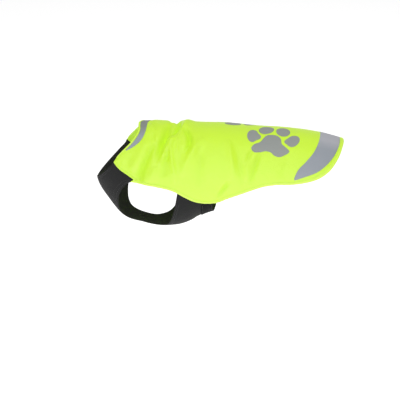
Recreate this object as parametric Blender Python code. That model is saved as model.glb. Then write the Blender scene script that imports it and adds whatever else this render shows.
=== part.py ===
"""Dog safety vest: a yellow back shell with reflective bands and paw prints, and a black chest panel.

Metres, +Z up. X runs from the neck (-X) to the tail (+X) and the wearer's left side is at -Y.
The origin lies on the inner face of the shell, on the spine, over the wearer's shoulders.

The cloth is cut flat in a pattern plane (s, g): s runs along the spine from the neck edge, and g is
the distance round from the spine, negative on the left. A table of rings gives the worn form, and
every piece is cut from one shared net of triangles on it, so that pieces that lie on each other
keep the same gap everywhere.
"""
import bmesh
import bpy
import numpy as np
from mathutils import Vector
from mathutils.geometry import delaunay_2d_cdt

# ---------------------------------------------------------------- driving sizes (metres)
SHELL_THICK = 0.0012
PANEL_THICK = 0.0016
BAND_THICK = 0.0010
PRINT_THICK = 0.0010
BINDING_THICK = 0.0010
STRAP_THICK = 0.0020
GAP = 0.0003                # between cloths that lie on each other

HEM_BINDING_WIDTH = 0.0070
HEM_BINDING_TIP = 0.0030    # how far its pointed ends run past the front seams
NECK_BINDING_WIDTH = 0.0040
NECK_BINDING_END = 0.136    # how far round from the spine it reaches
COLLAR_MARGIN = 0.0045      # bare cloth between the neck edge and the collar band
STRAP_WIDTH = 0.0250
STRAP_REAR = 0.2335         # s of the strap's rear edge, which is the belly panel's too
WING_TOP = 0.203            # |g| of the belly wings' hidden upper ends

# Where the chest panel sinks away from the shell, as s: behind the front seam to make room for
# the binding, and before the strap to make room for it.
BINDING_RAMP = (0.020, 0.040)
STRAP_RAMP = (0.1865, 0.2005)

NET_SPACING = 0.0125
EDGE_STEP = 0.0120
PRINT_STEP = 0.0075
CLEAR_OF_LINES = 0.6        # least room between points of the net, as a share of its spacing
CLEAR_OF_KEEL = 0.4
MERGE = 0.00001             # points of outlines that meet are one point of the net
KEEL_TOLERANCE = 0.00002
NORMAL_STEP = 0.0010        # how far to each side a normal is measured
TABLE_STEPS = 241           # rings, and places round a ring, of the table of distances
KEEL_STEPS = 200            # places along the keel where its length is measured
SHARP_ANGLE = 40            # edges sharper than this, in degrees, are shaded as edges
TIP_SLANT = 0.1             # how far a tip's inner corner runs past, as a share of its outer one

# Rows of the net's loose points. The last two fill in low at the front, where the rings fan out.
#  row gap, from s, to s, from |g|
NET_ROWS = [
    (0.866, 0.000, None, 0.000),
    (0.433, 0.000, 0.250, 0.240),
    (0.360, 0.000, 0.060, 0.170),
]

# The worn form: one row a ring, from the neck to the rear hem. A ring is an oval from the spine
# point to the keel point. widest: where it is widest, as a share of its height from the spine.
# square: how far its sides are fuller than an ellipse's.
#   spine x, spine z,  keel x,  keel z, half width, widest, square
RINGS = np.array([
    (-0.167, -0.002, -0.286, -0.160, 0.078, 0.46, 0.00),
    (-0.134, -0.001, -0.260, -0.214, 0.090, 0.47, 0.01),
    (-0.115, 0.000, -0.226, -0.258, 0.099, 0.48, 0.02),
    (-0.070, 0.000, -0.152, -0.289, 0.108, 0.48, 0.03),
    (-0.010, 0.000, -0.060, -0.289, 0.112, 0.47, 0.04),
    (0.060, 0.001, 0.035, -0.243, 0.112, 0.48, 0.04),
    (0.140, -0.003, 0.135, -0.217, 0.109, 0.50, 0.04),
    (0.230, -0.004, 0.230, -0.204, 0.106, 0.52, 0.04),
    (0.310, -0.011, 0.310, -0.197, 0.103, 0.52, 0.03),
    (0.360, -0.021, 0.358, -0.197, 0.099, 0.52, 0.02),
    (0.400, -0.034, 0.396, -0.197, 0.094, 0.52, 0.02),
])

# Outlines of the left half in the pattern plane, as (s, |g|); the right half mirrors them.
NECK_EDGE = [(0.000, 0.000), (0.004, 0.018), (0.012, 0.040), (0.015, 0.062), (0.014, 0.084),
             (0.011, 0.100), (0.0075, 0.118), (0.0070, 0.136), (0.009, 0.150)]
FRONT_SEAM = [(0.009, 0.150), (0.0195, 0.1612), (0.030, 0.1705), (0.0413, 0.1782),
              (0.0542, 0.1890)]
LOWER_EDGE = [(0.055, 0.198), (0.084, 0.2025), (0.111, 0.207), (0.138, 0.2145), (0.166, 0.231),
              (0.195, 0.248), (0.222, 0.254), (0.244, 0.250), (0.262, 0.236), (0.289, 0.218),
              (0.318, 0.201), (0.348, 0.187), (0.378, 0.179), (0.425, 0.172), (0.456, 0.163),
              (0.488, 0.147), (0.519, 0.118), (0.5425, 0.073), (0.5515, 0.030), (0.554, 0.000)]
COLLAR_REAR = [(0.0245, 0.000), (0.0272, 0.020), (0.0318, 0.042), (0.0345, 0.062), (0.033, 0.080),
               (0.027, 0.094), (0.016, 0.109)]
TAIL_FRONT = [(0.4895, 0.000), (0.4890, 0.024), (0.4855, 0.050), (0.4745, 0.082), (0.458, 0.107),
              (0.437, 0.134), (0.429, 0.155)]
TAIL_REAR = [(0.543, 0.000), (0.542, 0.030), (0.5305, 0.073), (0.510, 0.106), (0.484, 0.131),
             (0.458, 0.146), (0.430, 0.160)]
CHEST_FRONT = [(0.0070, 0.142), (0.009, 0.150), (0.007, 0.178), (0.003, 0.215), (0.000, 0.250)]
CHEST_UNDER_SEAM = [(0.0070, 0.142), (0.022, 0.157), (0.036, 0.168), (0.054, 0.181)]
# From the front seam round the leg hole to the top of the belly wing, as (s, distance from keel).
LEG_HOLE = [(0.0590, 0.1965), (0.0505, 0.1770), (0.0466, 0.1530), (0.0447, 0.1200), (0.0470, 0.0940),
            (0.0515, 0.0700), (0.0570, 0.0530), (0.0670, 0.0400), (0.0900, 0.0320), (0.112, 0.034),
            (0.130, 0.047), (0.141, 0.070), (0.147, 0.105), (0.150, 0.160)]

# Folds: a line in the pattern plane from (s, g) to (s, g), its half width and its height.
# A trough has a negative height. At its ends a fold keeps the share FOLD_END of its height.
FOLD_END = 0.55
#    s0,     g0,     s1,     g1,   width,  height
FOLDS = [
    (0.108, 0.024, 0.112, -0.034, 0.0080, -0.0060),
    (0.112, -0.032, 0.105, -0.064, 0.0080, -0.0044),
    (0.087, -0.008, 0.088, -0.106, 0.0085, -0.0050),
    (0.133, 0.048, 0.127, -0.022, 0.0150, 0.0068),
    (0.101, -0.070, 0.121, -0.126, 0.0080, 0.0034),
    (0.122, -0.128, 0.140, -0.190, 0.0080, 0.0028),
    (0.104, -0.096, 0.113, -0.162, 0.0075, -0.0032),
    (0.124, -0.022, 0.151, -0.068, 0.0080, -0.0044),
    (0.152, -0.070, 0.149, -0.108, 0.0080, -0.0036),
    (0.184, -0.070, 0.152, -0.164, 0.0140, 0.0036),
    (0.065, -0.082, 0.071, -0.130, 0.0085, -0.0050),
    (0.071, -0.132, 0.067, -0.168, 0.0085, -0.0046),
    (0.267, -0.050, 0.283, -0.108, 0.0080, -0.0026),
    (0.284, -0.110, 0.298, -0.176, 0.0080, -0.0026),
    (0.250, -0.076, 0.270, -0.164, 0.0110, 0.0026),
    (0.341, -0.092, 0.322, -0.146, 0.0080, -0.0032),
    (0.322, -0.142, 0.319, -0.178, 0.0080, -0.0026),
    (0.320, -0.086, 0.304, -0.132, 0.0070, -0.0022),
    (0.266, -0.182, 0.244, -0.230, 0.0075, -0.0028),
    (0.030, -0.118, 0.041, -0.168, 0.0080, -0.0018),
    (0.103, 0.026, 0.092, 0.086, 0.0080, -0.0054),
    (0.088, 0.020, 0.084, 0.108, 0.0085, -0.0052),
    (0.130, 0.036, 0.115, 0.082, 0.0120, 0.0046),
    (0.110, 0.082, 0.131, 0.186, 0.0080, 0.0032),
    (0.104, 0.104, 0.111, 0.178, 0.0075, -0.0030),
    (0.143, 0.040, 0.141, 0.114, 0.0080, -0.0036),
    (0.178, 0.076, 0.148, 0.164, 0.0140, 0.0032),
    (0.061, 0.074, 0.070, 0.130, 0.0085, -0.0046),
    (0.070, 0.132, 0.067, 0.170, 0.0085, -0.0044),
    (0.249, 0.060, 0.275, 0.186, 0.0085, -0.0030),
    (0.336, 0.110, 0.312, 0.180, 0.0085, -0.0030),
    (0.402, 0.100, 0.397, 0.152, 0.0110, -0.0016),
    (0.044, -0.060, 0.044, 0.052, 0.0160, 0.0018),
]

POINT_SHARPNESS = 30        # the larger, the narrower a toe's point
# The toes of a paw print before it is placed, from its middle: across, and up toward the toes.
# point: how far a toe is drawn out to a blunt point, as a share of its size, and where that aims.
#      name,  across,     up, half across, half up, turn in degrees, point, aim in degrees
PAW_TOES = [
    ("toe_1", -0.0552, 0.0150, 0.0144, 0.0262, -8.0, 0.58, -12.0),
    ("toe_2", -0.0250, 0.0490, 0.0196, 0.0236, 14.0, 0.00, 0.0),
    ("toe_3", 0.0203, 0.0488, 0.0184, 0.0242, -14.0, 0.00, 0.0),
    ("toe_4", 0.0530, 0.0150, 0.0155, 0.0222, 16.0, 0.38, 208.0),
]
# The pad's outline, as (across, up): a crown between the toes and two side lobes, the one toward
# toe_4 hanging lower.
PAW_PAD = [(-0.005, 0.0255), (0.009, 0.0240), (0.020, 0.0140), (0.026, -0.003), (0.040, -0.0125),
           (0.049, -0.0205), (0.038, -0.0340), (0.024, -0.0415), (0.012, -0.0395), (0.002, -0.0330),
           (-0.010, -0.0320), (-0.026, -0.0370), (-0.040, -0.0395), (-0.0495, -0.0300),
           (-0.045, -0.0180), (-0.031, -0.0075), (-0.024, 0.0090), (-0.018, 0.0205)]
# Where the prints lie: the side's sign, the middle as (s, |g|), and the lean to the rear in degrees.
#     name, side,      s,    |g|,  lean
PAWS = [
    ("left", -1, 0.3665, 0.0600, 6.0),
    ("right", 1, 0.2775, 0.0735, -100.0),
]

# ---------------------------------------------------------------- the worn form
SPINE_S = np.concatenate([[0.0], np.cumsum(np.hypot(np.diff(RINGS[:, 0]), np.diff(RINGS[:, 1])))])
S_STEPS = np.linspace(0.0, SPINE_S[-1], TABLE_STEPS)
ANGLES = np.linspace(0.0, np.pi, TABLE_STEPS)


def smooth_rows(rows, run, at):
    """The rows' values at places along their run, on a smooth cubic through the rows."""
    slopes = np.gradient(rows, run, axis=0, edge_order=2)
    i = np.clip(np.searchsorted(run, at, side="right") - 1, 0, len(run) - 2)
    h = (run[i + 1] - run[i])[..., None]
    t = (at - run[i])[..., None] / h
    start = (2 * t**3 - 3 * t**2 + 1) * rows[i] + (t**3 - 2 * t**2 + t) * h * slopes[i]
    end = (3 * t**2 - 2 * t**3) * rows[i + 1] + (t**3 - t**2) * h * slopes[i + 1]
    return start + end


def ring_values(s):
    """The ring table's columns at s."""
    return np.moveaxis(smooth_rows(RINGS, SPINE_S, s), -1, 0)


def ring_point(s, angle):
    """A point of the ring at s; angle is 0 on the spine and pi on the keel."""
    spine_x, spine_z, keel_x, keel_z, half, widest, square = ring_values(s)
    down = (1 - np.cos(angle)) / 2 - (0.5 - widest) * np.sin(angle)**2
    y = half * (np.sin(angle) + square * np.sin(3 * angle)) / (1 - square)
    return np.stack([spine_x + (keel_x - spine_x) * down, y, spine_z + (keel_z - spine_z) * down], -1)


GRID = ring_point(np.repeat(S_STEPS[:, None], len(ANGLES), 1), np.repeat(ANGLES[None], len(S_STEPS), 0))
STEPS_ROUND = np.linalg.norm(np.diff(GRID, axis=1), axis=-1)
ROUND = np.concatenate([np.zeros((len(S_STEPS), 1)), np.cumsum(STEPS_ROUND, axis=1)], axis=1)


def half_girth(s):
    """Distance round from the spine to the keel at s."""
    return np.interp(s, S_STEPS, ROUND[:, -1])


def form_point(s, g):
    """The smooth form's point for pattern coordinates, as arrays."""
    place = np.clip(s / S_STEPS[1], 0, len(S_STEPS) - 1.000001)
    row = place.astype(int)
    part = (place - row)[:, None]
    rounds = ROUND[row] * (1 - part) + ROUND[row + 1] * part
    angle = np.array([np.interp(abs(a), r, ANGLES) for a, r in zip(g, rounds)])
    points = ring_point(s, angle)
    points[:, 1] *= np.where(g < 0, -1, 1)
    return points


def fold_height(s, g):
    """Height of the folds over the smooth form."""
    height = np.zeros_like(s)
    for s0, g0, s1, g1, width, rise in FOLDS:
        along = np.array([s1 - s0, g1 - g0])
        t = ((s - s0) * along[0] + (g - g0) * along[1]) / (along @ along)
        near = np.clip(t, 0, 1)
        off = np.hypot(s - s0 - near * along[0], g - g0 - near * along[1])
        height += rise * np.exp(-(off / width)**2) * (FOLD_END + (1 - FOLD_END) * np.sin(np.pi * near))
    return height


def surface(s, g):
    """Points of the shell's inner face and its outward normals at (s, g)."""
    s0 = np.clip(s - NORMAL_STEP, 0, SPINE_S[-1])
    s1 = np.clip(s + NORMAL_STEP, 0, SPINE_S[-1])
    limit = half_girth(s)
    g0 = np.clip(g - NORMAL_STEP, -limit, limit)
    g1 = np.clip(g + NORMAL_STEP, -limit, limit)
    along = form_point(s1, g) - form_point(s0, g)
    across = form_point(s, g1) - form_point(s, g0)
    normal = np.cross(along, across)
    normal[np.abs(g) > limit - KEEL_TOLERANCE, 1] = 0
    normal /= np.linalg.norm(normal, axis=1)[:, None]
    points = form_point(s, g) + normal * fold_height(s, g)[:, None]
    return points, normal


# ---------------------------------------------------------------- outlines in the pattern plane
def smooth_line(points, step):
    """A smooth line through the points, with a point about every step."""
    p = np.array(points, float)
    if len(p) == 2:
        count = max(1, int(round(np.linalg.norm(p[1] - p[0]) / step)))
        return p[0] + (p[1] - p[0]) * np.linspace(0, 1, count + 1)[:, None]
    run = np.concatenate([[0.0], np.cumsum(np.linalg.norm(np.diff(p, axis=0), axis=1))])
    count = max(2, int(round(run[-1] / step)))
    return smooth_rows(p, run, np.linspace(0, run[-1], count + 1))


def smooth_loop(points, step):
    """A smooth closed line through the points, with a point about every step."""
    p = np.array(points[-2:] + points + points[:3])
    run = np.concatenate([[0.0], np.cumsum(np.linalg.norm(np.diff(p, axis=0), axis=1))])
    count = int(round((run[-3] - run[2]) / step))
    return smooth_rows(p, run, np.linspace(run[2], run[-3], count, endpoint=False))


def mirrored(line):
    """The right half's line for a left half's, in the same order."""
    return line * np.array([1.0, -1.0])


def left(line):
    """A table of (s, |g|) on the left side, where g is negative."""
    return np.asarray(line, float) * np.array([1.0, -1.0])


def from_keel(line):
    """A table of (s, distance from the keel) as left-hand pattern points."""
    line = np.asarray(line, float)
    return np.stack([line[:, 0], line[:, 1] - half_girth(line[:, 0])], axis=1)


def joined(*lines):
    """One closed outline from lines that each start where the last one ended."""
    return np.concatenate([line[:-1] for line in lines])


def both_halves(half):
    """A closed outline from a left half that runs from the spine to the spine."""
    return np.concatenate([half, mirrored(half[::-1])[1:-1]])


def shell_edges(step):
    """The left half's neck edge, front seam with its sharp corner, and lower edge."""
    neck = smooth_line(left(NECK_EDGE), step)
    seam = np.concatenate([smooth_line(left(FRONT_SEAM), step), left(LOWER_EDGE[:1])])
    lower = smooth_line(left(LOWER_EDGE), step)
    return neck, seam, lower


def shell_outline(step):
    neck, seam, lower = shell_edges(step)
    return both_halves(np.concatenate([neck[:-1], seam[:-1], lower]))


def inset_line(line, width):
    """A half edge's line moved inward by a width; the edge runs with the cloth on its left."""
    way = np.gradient(line, axis=0)
    inward = np.stack([-way[:, 1], way[:, 0]], axis=1)
    inward[line[:, 1] == 0, 1] = 0
    inward /= np.linalg.norm(inward, axis=1)[:, None]
    return line + inward * width


def whole_edge(half):
    """An edge from its left end over the spine to its right end, for a half that ends there."""
    return np.concatenate([half, mirrored(half[::-1])[1:]])


def neck_binding_lines(step):
    """The neck binding's outer and inner edge."""
    neck = shell_edges(step)[0]
    inset = inset_line(neck, NECK_BINDING_WIDTH)
    bound = neck[:, 1] > -NECK_BINDING_END
    return whole_edge(neck[bound][::-1]), whole_edge(inset[bound][::-1])


def hem_binding_lines(step):
    """The hem binding's outer and inner edge, without the pointed tips at its ends."""
    lower = shell_edges(step)[2]
    return whole_edge(lower), whole_edge(inset_line(lower, HEM_BINDING_WIDTH))


def collar_outline(step):
    front = inset_line(shell_edges(step)[0], COLLAR_MARGIN)
    front = front[front[:, 1] > -COLLAR_REAR[-1][1] + 0.5 * step]
    rear = smooth_line(left(COLLAR_REAR), step)
    return both_halves(np.concatenate([front, rear[::-1]]))


def tail_outline(step):
    front = smooth_line(left(TAIL_FRONT), step)
    rear = smooth_line(left(TAIL_REAR), step)
    return both_halves(np.concatenate([front, rear[::-1]]))


def keel_line(step):
    """Where the two halves of the chest panel meet, with even steps on the real keel."""
    s = np.linspace(0, STRAP_REAR, KEEL_STEPS)
    keel = ring_point(s, np.full_like(s, np.pi))
    run = np.concatenate([[0.0], np.cumsum(np.linalg.norm(np.diff(keel, axis=0), axis=1))])
    strap_front = np.interp(STRAP_REAR - STRAP_WIDTH, s, run)
    front = np.linspace(0, strap_front, int(round(strap_front / step)) + 1)
    rear = np.linspace(strap_front, run[-1], 3)
    at = np.interp(np.concatenate([front[:-1], rear]), run, s)
    return np.stack([at, -half_girth(at)], axis=1)


def chest_half(step):
    """The left half of the chest panel, closed along the keel."""
    front = smooth_line(np.concatenate([left(CHEST_FRONT), [(0.0, -half_girth(0.0))]]), step)
    keel = keel_line(step)
    rear = smooth_line([keel[-1], (STRAP_REAR, -WING_TOP)], step)
    top = smooth_line([rear[-1], (from_keel(LEG_HOLE)[-1][0], -WING_TOP)], step)
    wing = smooth_line([top[-1], from_keel(LEG_HOLE)[-1]], step)
    leg = smooth_line(from_keel(LEG_HOLE)[::-1], step)
    corner = smooth_line([leg[-1], left(CHEST_UNDER_SEAM)[-1]], step)
    seam = smooth_line(left(CHEST_UNDER_SEAM)[::-1], step)
    return joined(front, keel, rear, top, wing, leg, corner, seam)


def strap_side(step):
    """The strap's front edge on the left half, from the keel to the wing's top."""
    front = STRAP_REAR - STRAP_WIDTH
    return smooth_line([(front, -half_girth(front)), (front, -WING_TOP)], step)


def strap_half(step):
    """The left half of the belly strap, closed along the keel."""
    side = strap_side(step)
    keel = keel_line(step)
    keel = keel[keel[:, 0] > side[0, 0] - 1e-9]
    rear = smooth_line([keel[-1], (STRAP_REAR, -WING_TOP)], step)
    top = smooth_line([rear[-1], side[-1]], step)
    return joined(keel, rear, top, side[::-1])


def place_print(across, up, side, s, g, lean):
    """Pattern points of a print's own points, leant and moved to its place."""
    turn = np.radians(lean)
    x = across * np.cos(turn) + up * np.sin(turn)
    y = up * np.cos(turn) - across * np.sin(turn)
    return np.stack([s + x, side * (g - y)], axis=1)


def toe_outline(toe, paw, step):
    """An oval toe with its point, in its place."""
    _, across, up, half_across, half_up, turn, point, aim = toe
    count = int(round(np.pi * (half_across + half_up) / step))
    a = np.radians(aim) + np.linspace(0, 2 * np.pi, count, endpoint=False)
    bulge = 1 + point * ((1 + np.cos(a - np.radians(aim))) / 2)**POINT_SHARPNESS
    x = half_across * bulge * np.cos(a)
    y = half_up * bulge * np.sin(a)
    t = np.radians(turn)
    return place_print(across + x * np.cos(t) + y * np.sin(t), up + y * np.cos(t) - x * np.sin(t), *paw[1:])


def pad_outline(paw, step):
    """The pad's outline in its place."""
    line = smooth_loop(PAW_PAD, step)
    return place_print(line[:, 0], line[:, 1], *paw[1:])


# ---------------------------------------------------------------- the shared net
def inside(points, outline):
    """Which points lie inside a closed outline."""
    x, y = points[:, 0], points[:, 1]
    found = np.zeros(len(points), bool)
    for (x0, y0), (x1, y1) in zip(outline, np.roll(outline, -1, axis=0)):
        if y0 == y1:
            continue
        crosses = (y0 > y) != (y1 > y)
        found ^= crosses & (x < x0 + (y - y0) / (y1 - y0) * (x1 - x0))
    return found


def net_candidates(spacing):
    """Rows of points over the pattern plane, every second row half a space aside."""
    points = []
    for row_gap, first, last, from_g in NET_ROWS:
        last = last or SPINE_S[-1]
        gap = row_gap * spacing
        for row in range(1, int((last - first) / gap) + 1):
            s = first + row * gap
            limit = half_girth(s)
            count = int(limit / spacing)
            g = (np.arange(-count, count + 1) + 0.5 * (row % 2)) * spacing
            g = g[(np.abs(g) >= from_g) & (np.abs(g) < limit - CLEAR_OF_KEEL * spacing)]
            points.append(np.stack([np.full_like(g, s), g], axis=1))
    return np.concatenate(points)


def fill_points(fixed, outlines, spacing):
    """Points of the net inside the pieces, kept clear of the outlines and of each other."""
    candidates = net_candidates(spacing)
    wanted = np.zeros(len(candidates), bool)
    for outline in outlines:
        wanted |= inside(candidates, outline)
    candidates = candidates[wanted]
    places = form_point(candidates[:, 0], candidates[:, 1])
    taken = form_point(fixed[:, 0], fixed[:, 1])
    kept = []
    for candidate, place in zip(candidates, places):
        if np.min(np.linalg.norm(taken - place, axis=1)) > CLEAR_OF_LINES * spacing:
            taken = np.concatenate([taken, [place]])
            kept.append(candidate)
    return np.array(kept)


def make_net(closed, lines, spacing):
    """One triangle net that has every outline and line as edges."""
    points = []
    edges = []
    for outline in closed:
        first = len(points)
        points += list(outline)
        edges += [(first + i, first + (i + 1) % len(outline)) for i in range(len(outline))]
    for line in lines:
        first = len(points)
        points += list(line)
        edges += [(first + i, first + i + 1) for i in range(len(line) - 1)]
    fill = fill_points(np.array(points), closed, spacing)
    vectors = [Vector((float(s), float(g))) for s, g in points + list(fill)]
    verts, _, faces, *_ = delaunay_2d_cdt(vectors, edges, [], 0, MERGE, False)
    net = np.array([(v.x, v.y) for v in verts])
    return net, np.array(faces)


def weld_keel(net, faces):
    """Give the right half's keel points the numbers of the left half's."""
    keel = np.abs(np.abs(net[:, 1]) - half_girth(net[:, 0])) < KEEL_TOLERANCE
    number = np.arange(len(net))
    lefts = {round(net[i, 0], 5): i for i in np.flatnonzero(keel & (net[:, 1] < 0))}
    for i in np.flatnonzero(keel & (net[:, 1] > 0)):
        number[i] = lefts[round(net[i, 0], 5)]
    return number[faces]


def cut(faces, centres, outlines):
    """The faces whose middles lie inside one of the outlines."""
    chosen = np.zeros(len(faces), bool)
    for outline in outlines:
        chosen |= inside(centres, outline)
    return faces[chosen]


# ---------------------------------------------------------------- solids
def add_object(name, points, faces, material):
    mesh = bpy.data.meshes.new(name)
    mesh.from_pydata([tuple(p) for p in points], [], [tuple(int(i) for i in f) for f in faces])
    mesh.materials.append(material)
    mesh.validate()
    piece = bpy.data.objects.new(name, mesh)
    bpy.context.collection.objects.link(piece)
    mesh.shade_smooth()
    mesh.set_sharp_from_angle(angle=np.radians(SHARP_ANGLE))
    return piece


def rim_edges(faces):
    """Directed edges that belong to one face only."""
    directed = [(int(f[i]), int(f[(i + 1) % 3])) for f in faces for i in range(3)]
    present = set(directed)
    return [edge for edge in directed if (edge[1], edge[0]) not in present]


def wall(name, faces, points, normals, inner, outer, material):
    """A closed wall between two distances from the shell's inner face."""
    used, faces = np.unique(faces, return_inverse=True)
    faces = faces.reshape(-1, 3)
    count = len(used)
    top = points[used] + normals[used] * outer[used][:, None]
    bottom = points[used] + normals[used] * inner[used][:, None]
    corners = top[faces]
    facing = np.cross(corners[:, 1] - corners[:, 0], corners[:, 2] - corners[:, 0])
    flipped = np.einsum("ij,ij->i", facing, normals[used][faces[:, 0]]) < 0
    faces[flipped] = faces[flipped][:, ::-1]
    solid = [tuple(f) for f in faces] + [tuple(f[::-1] + count) for f in faces]
    solid += [(b, a, a + count, b + count) for a, b in rim_edges(faces)]
    return add_object(name, np.concatenate([top, bottom]), solid, material)


def binding(name, edge_line, inner_line, tape):
    """A folded strip that wraps an edge of the shell, as a closed tube with a U section."""
    edge, edge_out = surface(edge_line[:, 0], edge_line[:, 1])
    inner, inner_out = surface(inner_line[:, 0], inner_line[:, 1])
    away = edge - inner
    away /= np.linalg.norm(away, axis=1)[:, None]
    over = SHELL_THICK + GAP
    beyond = GAP + 0.5 * BINDING_THICK
    section = (
        (inner, inner_out, 0.0, over + BINDING_THICK),
        (edge, edge_out, beyond, over + BINDING_THICK),
        (edge, edge_out, GAP + BINDING_THICK, 0.5 * SHELL_THICK),
        (edge, edge_out, beyond, -GAP - BINDING_THICK),
        (inner, inner_out, 0.0, -GAP - BINDING_THICK),
        (inner, inner_out, 0.0, -GAP),
        (edge, edge_out, GAP, -GAP),
        (edge, edge_out, GAP, over),
        (inner, inner_out, 0.0, over))
    points = np.stack([base + away * side + out * height for base, out, side, height in section], axis=1)
    around = len(section)
    last = (len(edge) - 1) * around
    faces = [(a, a + 1 if (a + 1) % around else a + 1 - around) for a in range(last)]
    faces = [(a, b, b + around, a + around) for a, b in faces]
    for cap in ((0, 1, 7, 8), (1, 2, 3, 6, 7), (3, 4, 5, 6)):
        faces.append(cap)
        faces.append(tuple(last + k for k in cap))
    piece = add_object(name, points.reshape(-1, 3), faces, tape)
    shape = bmesh.new()
    shape.from_mesh(piece.data)
    bmesh.ops.recalc_face_normals(shape, faces=shape.faces)
    shape.to_mesh(piece.data)
    shape.free()


def pointed_ends(edge_line, inner_line, tip):
    """The binding's lines with an end added at both sides that runs out to a point."""
    ends = []
    for line, length in ((edge_line, tip), (inner_line, TIP_SLANT * tip)):
        start = line[0] - (line[1] - line[0]) * length / np.linalg.norm(line[1] - line[0])
        ends.append(np.concatenate([[start], line, [start * np.array([1.0, -1.0])]]))
    return ends


# ---------------------------------------------------------------- materials
def material(name, colour, roughness, metallic=0.0):
    made = bpy.data.materials.new(name)
    made.use_nodes = True
    shader = made.node_tree.nodes["Principled BSDF"]
    shader.inputs["Base Color"].default_value = (*colour, 1.0)
    shader.inputs["Roughness"].default_value = roughness
    shader.inputs["Metallic"].default_value = metallic
    made.diffuse_color = (*colour, 1.0)
    return made


def clear_scene():
    for old in list(bpy.data.objects):
        bpy.data.objects.remove(old, do_unlink=True)


def smooth_step(x, start, end):
    t = np.clip((x - start) / (end - start), 0, 1)
    return t * t * (3 - 2 * t)


def panel_depth(s):
    """How far the chest panel's outer face lies inside the shell's inner face.

    It lies right under the shell at the front seam, leaves room for the binding behind it, and
    sinks by the strap's thickness where the strap is sewn on.
    """
    for_binding = (BINDING_THICK + GAP) * smooth_step(s, *BINDING_RAMP)
    for_strap = (STRAP_THICK + GAP) * smooth_step(s, *STRAP_RAMP)
    return GAP + for_binding + for_strap


def print_outlines():
    """The name and outline of every pad and toe of the two prints."""
    outlines = []
    for paw in PAWS:
        outlines.append((f"paw_{paw[0]}_pad", pad_outline(paw, PRINT_STEP)))
        for toe in PAW_TOES:
            outlines.append((f"paw_{paw[0]}_{toe[0]}", toe_outline(toe, paw, PRINT_STEP)))
    return outlines


def build():
    clear_scene()
    yellow = material("fluorescent_yellow_cloth", (0.62, 0.93, 0.06), 0.55)
    edging = material("yellow_binding_tape", (0.60, 0.90, 0.07), 0.50)
    grey = material("reflective_grey_tape", (0.36, 0.37, 0.38), 0.35)
    print_grey = material("reflective_grey_print", (0.32, 0.33, 0.33), 0.45)
    black = material("black_stretch_cloth", (0.030, 0.030, 0.032), 0.85)
    webbing = material("black_webbing", (0.018, 0.018, 0.019), 0.70)

    # The pieces' outlines, and the lines that must be edges of the net.
    shell = shell_outline(EDGE_STEP)
    bands = {"collar_band": collar_outline(EDGE_STEP), "tail_band": tail_outline(EDGE_STEP)}
    prints = dict(print_outlines())
    chest = [chest_half(EDGE_STEP), mirrored(chest_half(EDGE_STEP))]
    strap = [strap_half(EDGE_STEP), mirrored(strap_half(EDGE_STEP))]
    hem = hem_binding_lines(EDGE_STEP)
    neck = neck_binding_lines(EDGE_STEP)
    side = strap_side(EDGE_STEP)
    closed = [shell, *bands.values(), *chest, *prints.values()]
    net, faces = make_net(closed, [hem[1], neck[1], side, mirrored(side)], NET_SPACING)
    centres = net[faces].mean(axis=1)
    points, normals = surface(net[:, 0], net[:, 1])

    # The back shell, and what lies on it.
    flat = np.zeros(len(net))
    over = flat + SHELL_THICK + GAP
    wall("back_shell", cut(faces, centres, [shell]), points, normals, flat, flat + SHELL_THICK, yellow)
    for name, outline in bands.items():
        wall(name, cut(faces, centres, [outline]), points, normals, over, over + BAND_THICK, grey)
    for name, outline in prints.items():
        wall(name, cut(faces, centres, [outline]), points, normals, over, over + PRINT_THICK, print_grey)
    binding("hem_binding", *pointed_ends(*hem, HEM_BINDING_TIP), edging)
    binding("neck_binding", *neck, edging)

    # The chest panel under it, closed along the keel, and the strap on the panel.
    welded = weld_keel(net, faces)
    panel = -panel_depth(net[:, 0])
    webbing_top = panel + GAP + STRAP_THICK
    wall("chest_panel", cut(welded, centres, chest), points, normals, panel - PANEL_THICK, panel, black)
    wall("belly_strap", cut(welded, centres, strap), points, normals, panel + GAP, webbing_top, webbing)


build()
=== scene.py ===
import bpy
import numpy as np
from mathutils import Matrix, Vector, noise
from mathutils.geometry import delaunay_2d_cdt
from mathutils.kdtree import KDTree


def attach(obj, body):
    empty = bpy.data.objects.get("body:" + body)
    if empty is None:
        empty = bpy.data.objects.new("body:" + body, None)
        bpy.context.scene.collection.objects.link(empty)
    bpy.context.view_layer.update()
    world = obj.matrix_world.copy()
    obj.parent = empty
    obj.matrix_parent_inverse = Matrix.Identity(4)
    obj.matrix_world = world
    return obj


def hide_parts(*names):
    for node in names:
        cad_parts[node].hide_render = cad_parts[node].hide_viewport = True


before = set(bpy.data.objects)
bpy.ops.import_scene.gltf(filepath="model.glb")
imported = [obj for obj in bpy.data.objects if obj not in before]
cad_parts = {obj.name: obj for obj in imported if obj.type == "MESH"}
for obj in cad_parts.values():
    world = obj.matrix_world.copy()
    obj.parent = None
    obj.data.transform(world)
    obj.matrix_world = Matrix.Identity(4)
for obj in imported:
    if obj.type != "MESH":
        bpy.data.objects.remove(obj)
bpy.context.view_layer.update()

# ================================================================ studio
# A white sweep in even daylight, with two large soft lights on the camera's side and one overhead.
# The vest hangs empty at the height where it is worn, well clear of the floor.
FRAME_PX = 400
ORIGIN_PX = 124.9                       # the picture row where the vest's origin falls
PX_PER_METRE = 372.0
SENSOR_WIDTH = 36.0
CAMERA_AWAY = 3.0
CAMERA_TURN = np.radians(8.0)
CAMERA_UP = np.radians(20.0)
DAYLIGHT = 0.40
LIGHTS_AIM = (0.05, 0.0, -0.08)
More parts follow.
